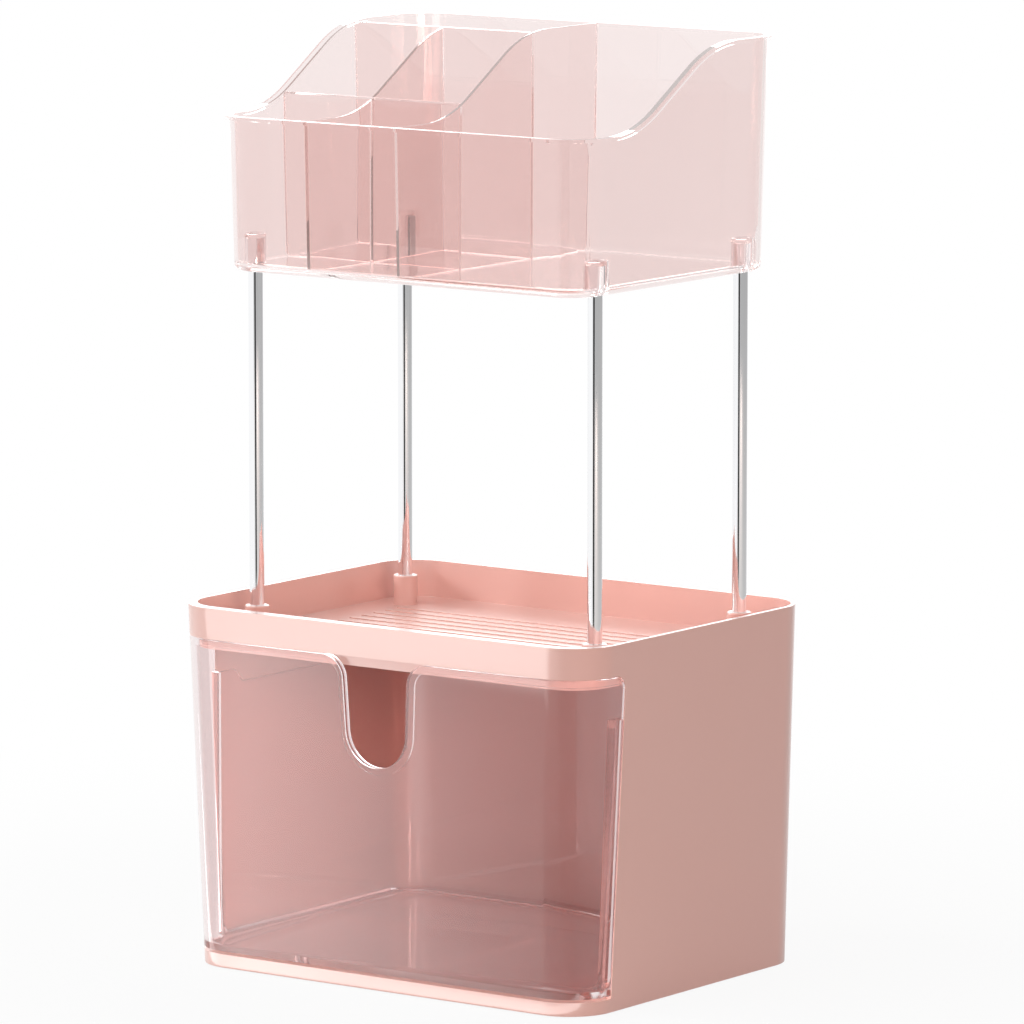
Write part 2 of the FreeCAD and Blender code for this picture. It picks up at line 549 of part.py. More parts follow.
def notch_prism(name, margin):
    """The finger notch with a margin, run through the panel along Y."""
    body = new_body(name)
    sketch = sketch_on(body, f"{name}_outline", "XZ_Plane", "-Sizes.tub_front")
    flare = math.radians(number("Sizes.notch_flare"))
    wide = number("Sizes.notch_radius") + number(margin)
    tight = number("Sizes.shoulder_radius") - number(margin)
    middle = number("Sizes.notch_floor") + number("Sizes.notch_radius")
    shoulder_z = number(PANEL_TOP) - number("Sizes.shoulder_radius")
    start = (wide * math.cos(flare), middle - wide * math.sin(flare))
    run = shoulder_z - middle
    # The flank touches both circles, so its distance to the shoulder's centre is the radius.
    shoulder_x = (wide + tight + run * math.sin(flare)) / math.cos(flare)
    end = (shoulder_x - tight * math.cos(flare), shoulder_z + tight * math.sin(flare))
    top = number(PANEL_TOP) + number("Sizes.reach")
    opening_angle = math.degrees(flare)
    bottom_arc = arc(sketch, (0, middle), wide, 180 + opening_angle, 360 - opening_angle)
    right_flank = line(sketch, start, end)
    right_shoulder = arc(sketch, (shoulder_x, shoulder_z), tight, 90, 180 - opening_angle)
    right_rise = line(sketch, (shoulder_x, shoulder_z + tight), (shoulder_x, top))
    lid = line(sketch, (shoulder_x, top), (-shoulder_x, top))
    left_rise = line(sketch, (-shoulder_x, top), (-shoulder_x, shoulder_z + tight))
    left_shoulder = arc(sketch, (-shoulder_x, shoulder_z), tight, opening_angle, 90)
    left_flank = line(sketch, (-end[0], end[1]), (-start[0], start[1]))
    tangent(
        sketch,
        ((bottom_arc, 2), (right_flank, 1)), ((right_flank, 2), (right_shoulder, 2)),
        ((left_shoulder, 1), (left_flank, 1)), ((left_flank, 2), (bottom_arc, 1)),
    )
    join(
        sketch,
        ((right_shoulder, 1), (right_rise, 1)), ((right_rise, 2), (lid, 1)),
        ((lid, 2), (left_rise, 1)), ((left_rise, 2), (left_shoulder, 2)),
    )
    for upright in (right_rise, left_rise):
        sketch.addConstraint(Sketcher.Constraint("Vertical", upright))
    sketch.addConstraint(Sketcher.Constraint("Horizontal", lid))
    sketch.addConstraint(Sketcher.Constraint("Equal", right_shoulder, left_shoulder))
    sketch.addConstraint(Sketcher.Constraint("Vertical", right_shoulder, 3, right_shoulder, 1))
    sketch.addConstraint(Sketcher.Constraint("Vertical", left_shoulder, 3, left_shoulder, 2))
    constrain(sketch, "centre_x", Sketcher.Constraint("DistanceX", bottom_arc, 3, 0), "0")
    constrain(sketch, "centre_z", Sketcher.Constraint("DistanceY", bottom_arc, 3, middle),
              "(Sizes.notch_floor + Sizes.notch_radius)")
    constrain(sketch, "radius", Sketcher.Constraint("Radius", bottom_arc, wide),
              f"(Sizes.notch_radius + ({margin}))")
    constrain(sketch, "shoulder", Sketcher.Constraint("Radius", right_shoulder, tight),
              f"(Sizes.shoulder_radius - ({margin}))")
    for tag, part in (("right", right_shoulder), ("left", left_shoulder)):
        constrain(sketch, f"{tag}_shoulder_z", Sketcher.Constraint("DistanceY", part, 3, shoulder_z),
                  f"({PANEL_TOP} - Sizes.shoulder_radius)")
    constrain(sketch, "right_flare", Sketcher.Constraint("Angle", right_flank, math.pi / 2 - flare),
              "(90 - Sizes.notch_flare) * 1 deg")
    constrain(sketch, "left_flare", Sketcher.Constraint("Angle", left_flank, flare - math.pi / 2),
              "(Sizes.notch_flare - 90) * 1 deg")
    constrain(sketch, "top", Sketcher.Constraint("DistanceY", lid, 1, top), f"({PANEL_TOP} + Sizes.reach)")
    extrude(body, f"{name}_form", "Pad", sketch, "(Sizes.base_depth / 2 + Sizes.tub_front + Sizes.reach)")
    return body


open_top = f"({PANEL_TOP} + Sizes.reach)"
rim_hollow = combine("Common", "rim_hollow", hollow_prism("full_hollow", open_top),
                     envelope("rim_core", "(Sizes.panel + Sizes.panel_lip)"))
low_hollow = hollow_prism("low_hollow", f"({PANEL_TOP} - Sizes.panel_rim)")
panel_hollow = combine("Common", "panel_hollow", low_hollow, envelope("panel_core", "Sizes.panel"))
panel_recess = combine("Cut", "panel_recess", panel_hollow, notch_prism("notch_rim", "Sizes.panel_rim"))
front_hollow = combine("Fuse", "front_hollow", rim_hollow, panel_recess)
drawer_hollow = combine("Fuse", "drawer_hollow", front_hollow, tub_cavity)
drawer_open = combine("Cut", "drawer_open", drawer_block, drawer_hollow)
drawer = combine("Cut", "drawer", drawer_open, notch_prism("notch", "0"))


# ---------------------------------------------------------------- upper bin
# A clear open bin, low in front and high at the back. The side walls rise in an S of two equal
# arcs, a narrow flange follows the rim, and a blind socket in each corner takes a tube.

BIN_TALL = "(Sizes.bin_high - Sizes.bin_low)"


def bin_form(name, low, inset, high):
    """The bin's drafted outline between two levels, moved in by an inset."""
    body = new_body(name)
    grown = f"(Sizes.bin_draft * (({low}) - Sizes.bin_low) / {BIN_TALL} - ({inset}))"
    half_depth = f"(Sizes.bin_depth / 2 + {grown})"
    outline = rounded_outline(body, f"{name}_outline", low, f"(Sizes.bin_width / 2 + {grown})",
                              f"(Sizes.tube_middle - {half_depth})", f"(Sizes.tube_middle + {half_depth})",
                              f"(Sizes.bin_radius + {grown})")
    form = extrude(body, f"{name}_form", "Pad", outline, f"(({high}) - ({low}))")
    form.setExpression("TaperAngle", f"atan(Sizes.bin_draft / {BIN_TALL})")
    return body


def above_sweep(name, drop):
    """Everything over the S-shaped rim line, which may be moved inwards by a drop."""
    body = new_body(name)
    sketch = sketch_on(body, f"{name}_outline", "YZ_Plane")
    y1, y2 = number("Sizes.sweep_front"), number("Sizes.sweep_back")
    low, high = number("Sizes.bin_front_rim"), number("Sizes.bin_high")
    lowered = number(drop)
    radius = number("Sizes.sweep_radius")
    lower_centre = (y1, low + radius)
    upper_centre = (y2, high - radius)
    hollow_radius, crown_radius = radius + lowered, radius - lowered
    # The straight between the arcs crosses the line of centres, so it touches both circles.
    gap_y, gap_z = upper_centre[0] - lower_centre[0], upper_centre[1] - lower_centre[1]
    reach = math.hypot(gap_y, gap_z)
    climb = math.asin((hollow_radius + crown_radius) / reach) + math.atan2(gap_z, gap_y)
    across, up = math.sin(climb), math.cos(climb)
    leave = (lower_centre[0] + hollow_radius * across, lower_centre[1] - hollow_radius * up)
    arrive = (upper_centre[0] - crown_radius * across, upper_centre[1] + crown_radius * up)
    far_front, far_back = -number("Sizes.base_depth"), number("Sizes.base_depth")
    top = high + number("Sizes.reach")
    turn = math.degrees(climb)
    front_level = line(sketch, (far_front, low - lowered), (y1, low - lowered))
    hollow_arc = arc(sketch, lower_centre, hollow_radius, 270, 270 + turn)
    straight = line(sketch, leave, arrive)
    crown_arc = arc(sketch, upper_centre, crown_radius, 90, 90 + turn)
    back_level = line(sketch, (y2, high - lowered), (far_back, high - lowered))
    back_rise = line(sketch, (far_back, high - lowered), (far_back, top))
    lid = line(sketch, (far_back, top), (far_front, top))
    front_rise = line(sketch, (far_front, top), (far_front, low - lowered))
    tangent(
        sketch,
        ((front_level, 2), (hollow_arc, 1)), ((hollow_arc, 2), (straight, 1)),
        ((straight, 2), (crown_arc, 2)), ((crown_arc, 1), (back_level, 1)),
    )
    join(
        sketch,
        ((back_level, 2), (back_rise, 1)), ((back_rise, 2), (lid, 1)),
        ((lid, 2), (front_rise, 1)), ((front_rise, 2), (front_level, 1)),
    )
    for level in (front_level, back_level, lid):
        sketch.addConstraint(Sketcher.Constraint("Horizontal", level))
    for upright in (back_rise, front_rise):
        sketch.addConstraint(Sketcher.Constraint("Vertical", upright))
    constrain(sketch, "rise_starts", Sketcher.Constraint("DistanceX", front_level, 2, y1),
              "Sizes.sweep_front")
    constrain(sketch, "rise_ends", Sketcher.Constraint("DistanceX", back_level, 1, y2), "Sizes.sweep_back")
    constrain(sketch, "front_rim", Sketcher.Constraint("DistanceY", front_level, 2, low - lowered),
              f"(Sizes.bin_front_rim - ({drop}))")
    constrain(sketch, "back_rim", Sketcher.Constraint("DistanceY", back_level, 1, high - lowered),
              f"(Sizes.bin_high - ({drop}))")
    constrain(sketch, "hollow", Sketcher.Constraint("Radius", hollow_arc, hollow_radius),
              f"(Sizes.sweep_radius + ({drop}))")
    constrain(sketch, "crown", Sketcher.Constraint("Radius", crown_arc, crown_radius),
              f"(Sizes.sweep_radius - ({drop}))")
    constrain(sketch, "far_front", Sketcher.Constraint("DistanceX", front_level, 1, far_front),
              "-Sizes.base_depth")
    constrain(sketch, "far_back", Sketcher.Constraint("DistanceX", back_rise, 1, far_back),
              "Sizes.base_depth")
    constrain(sketch, "top", Sketcher.Constraint("DistanceY", lid, 1, top), "(Sizes.bin_high + Sizes.reach)")
    extrude(body, f"{name}_form", "Pad", sketch, "(Sizes.base_width + 2 * Sizes.reach)", both_ways=True)
    return body


bin_top = "(Sizes.bin_high + 1)"
bin_outer = bin_form("bin_outer", "Sizes.bin_low", "0", bin_top)
round_edges(bin_outer, "bin_outer_round", bin_outer.Tip, number("Sizes.bin_low"), "Sizes.bin_bottom_edge")
bin_cavity = bin_form("bin_cavity", BIN_FLOOR, "Sizes.bin_wall", bin_top)
round_edges(bin_cavity, "bin_cavity_round", bin_cavity.Tip, number(BIN_FLOOR), "Sizes.bin_inner_edge")
bin_walls = combine("Cut", "bin_walls", bin_outer, bin_cavity)

rim_cut = above_sweep("rim_cut", "0")
flange_cut = above_sweep("flange_cut", "Sizes.flange_thick")
flange_band = combine("Cut", "flange_band", flange_cut, rim_cut)
flange_outline = bin_form("flange_outline", "Sizes.bin_low", "-Sizes.flange_out", bin_top)
flange_ring = combine("Cut", "flange_ring", flange_outline, bin_cavity)
flange = combine("Common", "flange", flange_ring, flange_band)
bin_trimmed = combine("Cut", "bin_trimmed", bin_walls, rim_cut)
bin_rimmed = combine("Fuse", "bin_rimmed", bin_trimmed, flange)

socket_body = new_body("sockets")
socket_outline = circles(socket_body, "socket_outline", "(Sizes.bin_low + Sizes.bin_floor / 2)",
                         "Sizes.socket_radius", TUBES.values())
socket_form = extrude(socket_body, "socket_form", "Pad", socket_outline,
                      "(Sizes.socket_height - Sizes.bin_floor / 2)")
round_edges(socket_body, "socket_round", socket_form,
            number("Sizes.bin_low + Sizes.socket_height"), "Sizes.boss_edge")
bin_socketed = combine("Fuse", "bin_socketed", bin_rimmed, socket_body)
bore_body = new_body("bores")
bore_outline = circles(bore_body, "bore_outline", "(Sizes.bin_low - 1)", "(Sizes.tube_radius - Sizes.press)",
                       TUBES.values())
extrude(bore_body, "bore_form", "Pad", bore_outline, "(Sizes.socket_depth + 1)")
bin_shell = combine("Cut", "bin_shell", bin_socketed, bore_body)


# ---------------------------------------------------------------- dividers of the bin
# Flat clear plates, bonded in: one from front to back in the middle, and a cross of plates in
# the left half. Each is trimmed to the inside of the bin and to the same S-shaped line.

def divider(name, left, right, front, back):
    blank = doc.addObject("Part::Box", f"{name}_blank")
    blank.setExpression("Length", f"({right}) - ({left})")
    blank.setExpression("Width", f"({back}) - ({front})")
    blank.setExpression("Height", "Sizes.bin_high - Sizes.bin_low")
    blank.setExpression("Placement.Base.x", left)
    blank.setExpression("Placement.Base.y", front)
    blank.setExpression("Placement.Base.z", "Sizes.bin_low")
    fitted = combine("Common", f"{name}_fitted", blank, bin_cavity)
    return combine("Cut", name, fitted, rim_cut)


half_plate = "Sizes.plate / 2"
outside = "Sizes.base_width / 2"
short_left = f"(Sizes.short_divider_x - {half_plate})"
short_right = f"(Sizes.short_divider_x + {half_plate})"
divider_pieces = [
    divider("long_divider", f"-{half_plate}", half_plate, f"-{outside}", outside),
    divider("front_divider", short_left, short_right, f"-{outside}", f"(Sizes.low_wall_y - {half_plate})"),
    divider("middle_divider", short_left, short_right, f"(Sizes.low_wall_y + {half_plate})",
            f"(Sizes.tall_wall_y - {half_plate})"),
    divider("low_cross_wall", f"-{outside}", f"-{half_plate}", f"(Sizes.low_wall_y - {half_plate})",
            f"(Sizes.low_wall_y + {half_plate})"),
    divider("tall_cross_wall", f"-{outside}", f"-{half_plate}", f"(Sizes.tall_wall_y - {half_plate})",
            f"(Sizes.tall_wall_y + {half_plate})"),
]


# ---------------------------------------------------------------- tubes and feet
# Thin-walled steel tubes, pressed into the tray's bosses and the bin's sockets.
tube_pieces = []
for corner, (x, y) in TUBES.items():
    tube = new_body(f"tube_{corner}")
    wall_outline = circles(tube, f"tube_{corner}_outline", TRAY_FLOOR, "Sizes.tube_radius", [(x, y)])
    centre = FreeCAD.Vector(number(x), number(y), 0)
    hole = wall_outline.addGeometry(Part.Circle(centre, FreeCAD.Vector(0, 0, 1), number("Sizes.tube_bore")))
    wall_outline.addConstraint(Sketcher.Constraint("Coincident", hole, 3, 0, 3))
    constrain(wall_outline, "bore", Sketcher.Constraint("Radius", hole, number("Sizes.tube_bore")),
              "Sizes.tube_bore")
    extrude(tube, f"tube_{corner}_form", "Pad", wall_outline,
            f"(Sizes.bin_low + Sizes.socket_depth - {TRAY_FLOOR})")
    tube_pieces.append(tube)

# Rubber buttons stuck to the hollow underside, standing proud of the cabinet's lower edge.
foot_pieces = []
for corner, (x, y) in FEET.items():
    foot = new_body(f"foot_{corner}")
    foot_outline = circles(foot, f"foot_{corner}_outline", "0", "Sizes.foot_radius", [(x, y)])
    button = extrude(foot, f"foot_{corner}_form", "Pad", foot_outline,
                     "(Sizes.foot_proud + Sizes.lip_height - Sizes.wall)")
    edge_cut = foot.newObject("PartDesign::Chamfer", f"foot_{corner}_edge")
    edge_cut.Base = (button, edges_at(button, 0.0))
    edge_cut.setExpression("Size", "Sizes.foot_chamfer")
    foot_pieces.append(foot)


# ---------------------------------------------------------------- checks and files
doc.recompute()

PIECES = [cabinet, drawer, bin_shell] + divider_pieces + tube_pieces + foot_pieces
for item in doc.Objects:
    if "Invalid" in item.State or "Error" in item.State:
        raise RuntimeError(f"{item.Label} failed: {item.State}")
for feature, sign in ((tray, -1), (ledge, 1), (bosses, 1), (seats, -1), (ribs, 1), (bay, -1), (runners, 1),
                      (underside, -1), (side_cut, -1)):
    change = feature.Shape.Volume - feature.BaseFeature.Shape.Volume
    if change * sign <= 0:
        raise RuntimeError(f"{feature.Label} changed the volume the wrong way: {change}")
for piece in PIECES:
    shape = piece.Shape
    if shape.isNull() or not shape.isValid() or len(shape.Solids) != 1:
        raise RuntimeError(f"{piece.Label} is not one valid solid")

os.makedirs("parts", exist_ok=True)
for piece in PIECES:
    piece.Shape.exportStep(f"parts/{piece.Label}.step")
    print(piece.Label, round(piece.Shape.Volume), piece.Shape.BoundBox)
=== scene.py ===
import math

import bmesh
import bpy
from mathutils import Matrix, Vector


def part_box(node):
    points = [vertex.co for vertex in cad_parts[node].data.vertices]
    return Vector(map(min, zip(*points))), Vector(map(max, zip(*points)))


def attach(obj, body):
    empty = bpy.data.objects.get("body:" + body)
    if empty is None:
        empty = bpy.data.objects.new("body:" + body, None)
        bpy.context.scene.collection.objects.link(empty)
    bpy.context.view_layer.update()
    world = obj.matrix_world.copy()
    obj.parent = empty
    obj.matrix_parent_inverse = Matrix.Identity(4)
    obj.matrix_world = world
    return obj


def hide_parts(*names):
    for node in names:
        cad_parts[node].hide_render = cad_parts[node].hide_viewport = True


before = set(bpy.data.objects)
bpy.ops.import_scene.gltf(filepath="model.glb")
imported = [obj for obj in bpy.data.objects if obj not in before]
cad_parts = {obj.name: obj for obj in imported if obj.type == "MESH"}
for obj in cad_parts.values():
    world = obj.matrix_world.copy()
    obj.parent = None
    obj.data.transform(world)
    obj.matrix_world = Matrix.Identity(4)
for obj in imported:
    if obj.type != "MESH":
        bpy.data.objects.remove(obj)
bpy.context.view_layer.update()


# ---------------------------------------------------------------- cabinet
# The cabinet is one injection moulding of opaque pink plastic: drawer bay, tray, fascia and
# tube bosses in one piece, glossy outside, with every edge slightly rounded by the mould.

MM = 0.001


class Signal:
    """One output socket of a material's nodes. Arithmetic on it adds Math nodes."""

    def __init__(self, tree, socket):
        self.tree = tree
        self.socket = socket

    def node(self, kind, settings=None, inputs=None, output=0):
        """Adds a node: its settings are set first, then values or links go to its sockets."""
        made = self.tree.nodes.new(kind)
        for name, value in (settings or {}).items():
            setattr(made, name, value)
        for name, value in (inputs or {}).items():
            if isinstance(value, Signal):
                self.tree.links.new(value.socket, made.inputs[name])
            else:
                made.inputs[name].default_value = value
        return Signal(self.tree, made.outputs[output])

    def maths(self, operation, first, second):
        return self.node("ShaderNodeMath", {"operation": operation}, {0: first, 1: second})

    def __add__(self, other):
        return self.maths("ADD", self, other)

    __radd__ = __add__

    def __sub__(self, other):
        return self.maths("SUBTRACT", self, other)

    def __rsub__(self, other):
        return self.maths("SUBTRACT", other, self)

    def __mul__(self, other):
        return self.maths("MULTIPLY", self, other)

    __rmul__ = __mul__


def new_material(name):
    """An empty node material, with the object's own coordinates and a way to set its surface."""
    material = bpy.data.materials.new(name)
    material.use_nodes = True
    tree = material.node_tree
    tree.nodes.clear()
    ending = tree.nodes.new("ShaderNodeOutputMaterial")
    place = Signal(tree, tree.nodes.new("ShaderNodeTexCoord").outputs["Object"])

    def finish(surface):
        tree.links.new(surface.socket, ending.inputs["Surface"])
        return material

    return place, finish


def noise(place, size, detail=2.0, stretch=(1.0, 1.0, 1.0)):
    """Noise from 0 to 1 whose lumps are about as large as a size in metres."""
    laid = place.node("ShaderNodeMapping", {}, {"Vector": place, "Scale": stretch})
    return laid.node("ShaderNodeTexNoise", {}, {
        "Vector": laid, "Scale": 1.0 / size, "Detail": detail})


def blend(dark, light, share):
    """A colour between two colours."""
    factor, first, second, colour_out = 0, 6, 7, 2
    return share.node("ShaderNodeMix", {"data_type": "RGBA"}, {
        factor: share, first: (*dark, 1.0), second: (*light, 1.0)}, output=colour_out)


def bump(height, depth, strength):
    """A surface normal from a height signal, with its depth in metres."""
    return height.node("ShaderNodeBump", {}, {
        "Height": height, "Distance": depth, "Strength": strength})


def rounded_copy(node, name, radius, steps=2, skin=None):
    """The node's own form with its sharp edges rounded, in place of the node.

    Its shading follows its larger faces. A skin gives the exact direction of a curved wall.
    """
    same_point, flat_bend, sharp_bend = 0.001 * MM, math.radians(0.3), math.radians(28.0)
    piece = bpy.data.objects.new(name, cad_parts[node].data.copy())
    bpy.context.scene.collection.objects.link(piece)
    form = bmesh.new()
    form.from_mesh(piece.data)
    bmesh.ops.remove_doubles(form, verts=form.verts, dist=same_point)
    bmesh.ops.dissolve_limit(form, angle_limit=flat_bend, verts=form.verts, edges=form.edges)
    sharp = [edge for edge in form.edges if edge.calc_face_angle(0.0) > sharp_bend]
    bmesh.ops.bevel(form, geom=sharp, offset=radius, offset_type="OFFSET", affect="EDGES",
                    segments=steps, profile=0.5, material=-1, clamp_overlap=True)
    for face in form.faces:
        face.smooth = True
    facing = []
    for point in form.verts:
        wall = skin(point.co) if skin else None
        weighed = (face.normal * face.calc_area() for face in point.link_faces)
        facing.append(wall or sum(weighed, Vector()).normalized())
    form.to_mesh(piece.data)
    form.free()
    piece.data.normals_split_custom_set_from_vertices(facing)
    piece.data.materials.clear()
    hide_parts(node)
    return piece


def pink_plastic():
    place, finish = new_material("moulded_pink_plastic")
    flow = noise(place, 90 * MM, detail=3.0)
    grain = noise(place, 0.35 * MM)
    return finish(place.node("ShaderNodeBsdfPrincipled", {}, {
        "Base Color": blend((0.84, 0.485, 0.428), (0.87, 0.515, 0.458), flow),
        "Roughness": 0.32 + 0.08 * flow, "IOR": 1.6, "Specular IOR Level": 0.65,
        "Coat Weight": 0.8, "Coat Roughness": 0.06, "Coat IOR": 1.6,
        "Normal": bump(grain, 0.002 * MM, 0.15)}))


cabinet = rounded_copy("cabinet", "cabinet_moulding", 0.45 * MM)
cabinet.data.materials.append(pink_plastic())
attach(cabinet, "frame")


# ---------------------------------------------------------------- feet
# Four soft rubber buttons, glued into the hollow underside so that they stand a little proud.
# Nothing of them shows from the front but the thin gap that they leave under the cabinet.

def foot_rubber():
    place, finish = new_material("foot_rubber")
    speckle = noise(place, 0.8 * MM, detail=3.0)
    return finish(place.node("ShaderNodeBsdfPrincipled", {}, {
        "Base Color": blend((0.52, 0.50, 0.50), (0.62, 0.60, 0.60), speckle),
        "Roughness": 0.72 + 0.12 * speckle, "Normal": bump(speckle, 0.03 * MM, 0.5)}))


rubber = foot_rubber()
corners = ("front_left", "front_right", "back_left", "back_right")
for corner in corners:
    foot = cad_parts[f"foot_{corner}"]
    foot.data.materials.clear()
    foot.data.materials.append(rubber)


# ---------------------------------------------------------------- drawer
# A polished clear moulding with a faint smoky pink tint. The front wraps both corners of the
# cabinet and has a thickened rim along its top and round the finger notch.

def clear_plastic(name, tint, haze, shade):
    """Clear plastic that bends light.

    Lamps shine through it with the tint of its shade, and so does light that is caught inside.
    """
    caught_after = 7.5
    place, finish = new_material(name)
    flow = noise(place, 70 * MM, detail=1.0)
    deeper = tuple(0.985 * part for part in tint)
    plastic = place.node("ShaderNodeBsdfPrincipled", {}, {
        "Base Color": blend(deeper, tint, flow), "Roughness": haze + 0.008 * flow, "IOR": 1.54,
        "Transmission Weight": 1.0})
    passing = place.node("ShaderNodeBsdfTransparent", {}, {"Color": (*shade, 1.0)})
    lamp_ray = place.node("ShaderNodeLightPath", output="Is Shadow Ray")
    bounces = place.node("ShaderNodeLightPath", output="Ray Depth")
    caught = place.maths("GREATER_THAN", bounces, caught_after)
    return finish(place.node("ShaderNodeMixShader", {}, {
        0: place.maths("MAXIMUM", lamp_ray, caught), 1: plastic, 2: passing}))


def wrapped_corner(point):
    """Direction of the front's two round corners, which lean in towards the lower edge."""
    low_edge, height, wall, near_enough = 1.0 * MM, 185.2 * MM, 3.0 * MM, 0.12 * MM
    half_width, side_lean = 124.0 * MM, 6.0 * MM
    half_depth, front_lean = 94.8 * MM, 5.2 * MM
    low_radius, radius_gain = 24.0 * MM, 1.0 * MM
    rise = (point.z - low_edge) / height
    radius = low_radius + radius_gain * rise
    across = abs(point.x) - (half_width + side_lean * rise) + radius
    ahead = point.y + (half_depth + front_lean * rise) - radius
    if across < 0.0 or ahead > 0.0:
        return None
    gap = math.hypot(across, ahead)
    outside = abs(gap - radius) < near_enough
    if not outside and abs(gap - radius + wall) > near_enough:
        return None
    side_slope, front_slope = side_lean - radius_gain, front_lean - radius_gain
    lean = (front_slope * ahead - side_slope * across) / gap - radius_gain
    way = Vector((math.copysign(across, point.x) / gap, ahead / gap, lean / height)).normalized()
    return way if outside else -way


drawer = rounded_copy("drawer", "drawer_moulding", 0.4 * MM, steps=4, skin=wrapped_corner)
drawer.data.materials.append(clear_plastic(
    "drawer_clear_plastic", tint=(0.895, 0.800, 0.797), haze=0.010, shade=(0.98, 0.955, 0.955)))
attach(drawer, "drawer")


# ---------------------------------------------------------------- tubes
# Thin steel tubes with a bright chrome finish, drawn lengthwise, cut square and pressed into
# the cabinet's four bosses below and the bin's four blind sockets above.

def bright_chrome():
    place, finish = new_material("bright_chrome")
    wipe = noise(place, 3 * MM, stretch=(1.0, 1.0, 0.05))
    return finish(place.node("ShaderNodeBsdfPrincipled", {}, {
        "Base Color": blend((0.90, 0.905, 0.92), (0.95, 0.955, 0.965), wipe), "Metallic": 1.0,
        "Roughness": 0.035 + 0.03 * wipe, "Normal": bump(wipe, 0.002 * MM, 0.2)}))


chrome = bright_chrome()
for corner in corners:
    tube = rounded_copy(f"tube_{corner}", f"chrome_tube_{corner}", 0.2 * MM)
    tube.data.materials.append(chrome)
    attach(tube, "frame")


# ---------------------------------------------------------------- bin and dividers
# The upper bin is a clear pale pink moulding with a narrow rim flange and a blind socket over
# each tube. Flat plates of the same plastic are bonded in as dividers, with a hairline of glue
# that keeps their faces apart.

bin_plastic = clear_plastic("bin_clear_plastic", tint=(0.940, 0.840, 0.828), haze=0.006,
                            shade=(0.955, 0.90, 0.89))
shell = rounded_copy("bin_shell", "bin_moulding", 0.35 * MM, steps=4)
shell.data.materials.append(bin_plastic)
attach(shell, "frame")

glue_gap = 0.1 * MM
plates = ("long_divider", "front_divider", "middle_divider", "low_cross_wall", "tall_cross_wall")
for plate in plates:
    divider = rounded_copy(plate, f"{plate}_plate", 0.3 * MM, steps=4)
    low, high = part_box(plate)
    middle = (low + high) / 2
    for point in divider.data.vertices:
        point.co += Vector([
            glue_gap * (centre - part) / (edge - centre)
            for part, centre, edge in zip(point.co, middle, high)])
    divider.data.materials.append(bin_plastic)
    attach(divider, "frame")


# ---------------------------------------------------------------- studio
# A white floor and surround with soft lamps from the left, above, the right and behind. The
# light table in front, the low lamp behind and the dark card for the tubes only show in gloss.

def studio_sheet(name, width, depth, placing, material):
    """A flat sheet of the studio, which is no part of the object."""
    form = bmesh.new()
    bmesh.ops.create_grid(form, x_segments=1, y_segments=1, size=0.5)
    bmesh.ops.scale(form, vec=(width, depth, 1.0), verts=form.verts)
    bmesh.ops.transform(form, matrix=placing, verts=form.verts)
    mesh = bpy.data.meshes.new(name)
    form.to_mesh(mesh)
    form.free()
    mesh.materials.append(material)
    sheet = bpy.data.objects.new(name, mesh)
    bpy.context.scene.collection.objects.link(sheet)
    return sheet


def ray_is(signal, name):
    """1 for rays of the named kind and 0 for the rest."""
    return signal.node("ShaderNodeLightPath", output=name)


def either(first, second):
    """The larger of two signals."""
    return first.maths("MAXIMUM", first, second)


def fading(signal, low, high, start, end):
    """start below low, end above high, and smooth in between."""
    return signal.node("ShaderNodeMapRange", {"interpolation_type": "SMOOTHSTEP"}, {
        "Value": signal, "From Min": low, "From Max": high, "To Min": start, "To Max": end})


def floor_white():
    """Matt white, seen as plain white with the object's shadow, and dimmer on the right in gloss."""
    place, finish = new_material("floor_white")
    matt = place.node("ShaderNodeBsdfDiffuse", {}, {"Color": (0.60, 0.60, 0.60, 1.0)})
    white = place.node("ShaderNodeEmission", {}, {"Color": (1.0, 1.0, 1.0, 1.0), "Strength": 1.0})
    reach = place.node("ShaderNodeVectorMath", {"operation": "LENGTH"}, {0: place}, "Value")
    rightward = place.node("ShaderNodeSeparateXYZ", {}, {0: place}, "X")
    plain = fading(reach, 0.15, 0.70, 0.93, 1.0)
    mirrored = fading(rightward, -0.2, 0.35, 1.0, 0.3)
    seen = either(ray_is(place, "Is Camera Ray"), ray_is(place, "Is Transmission Ray"))
    share = either(seen * plain, ray_is(place, "Is Glossy Ray") * mirrored)
    return finish(place.node("ShaderNodeMixShader", {}, {0: share, 1: matt, 2: white}))


floor_width = 12.0
studio_sheet("floor", floor_width, floor_width, Matrix(), floor_white())

world = bpy.data.worlds.new("studio")
world.use_nodes = True
bpy.context.scene.world = world
sky = world.node_tree
sky.nodes.clear()
start = Signal(sky, sky.nodes.new("ShaderNodeTexCoord").outputs["Generated"])
surround = start.node("ShaderNodeBackground", {}, {"Color": (1.0, 1.0, 1.0, 1.0), "Strength": 1.0})
ambient = start.node("ShaderNodeBackground", {}, {
    "Color": (1.0, 0.96, 0.94, 1.0), "Strength": 0.295})
seen = either(ray_is(start, "Is Camera Ray"), either(
    ray_is(start, "Is Glossy Ray"), ray_is(start, "Is Transmission Ray")))
both = start.node("ShaderNodeMixShader", {}, {0: seen, 1: ambient, 2: surround})
sky.links.new(both.socket, sky.nodes.new("ShaderNodeOutputWorld").inputs["Surface"])


def bearing(azimuth, elevation):
    """Unit vector to a place on the studio's sphere; azimuth 0 is straight in front."""
    turn, rise = math.radians(azimuth), math.radians(elevation)
    return Vector((
        math.sin(turn) * math.cos(rise), -math.cos(turn) * math.cos(rise), math.sin(rise)))


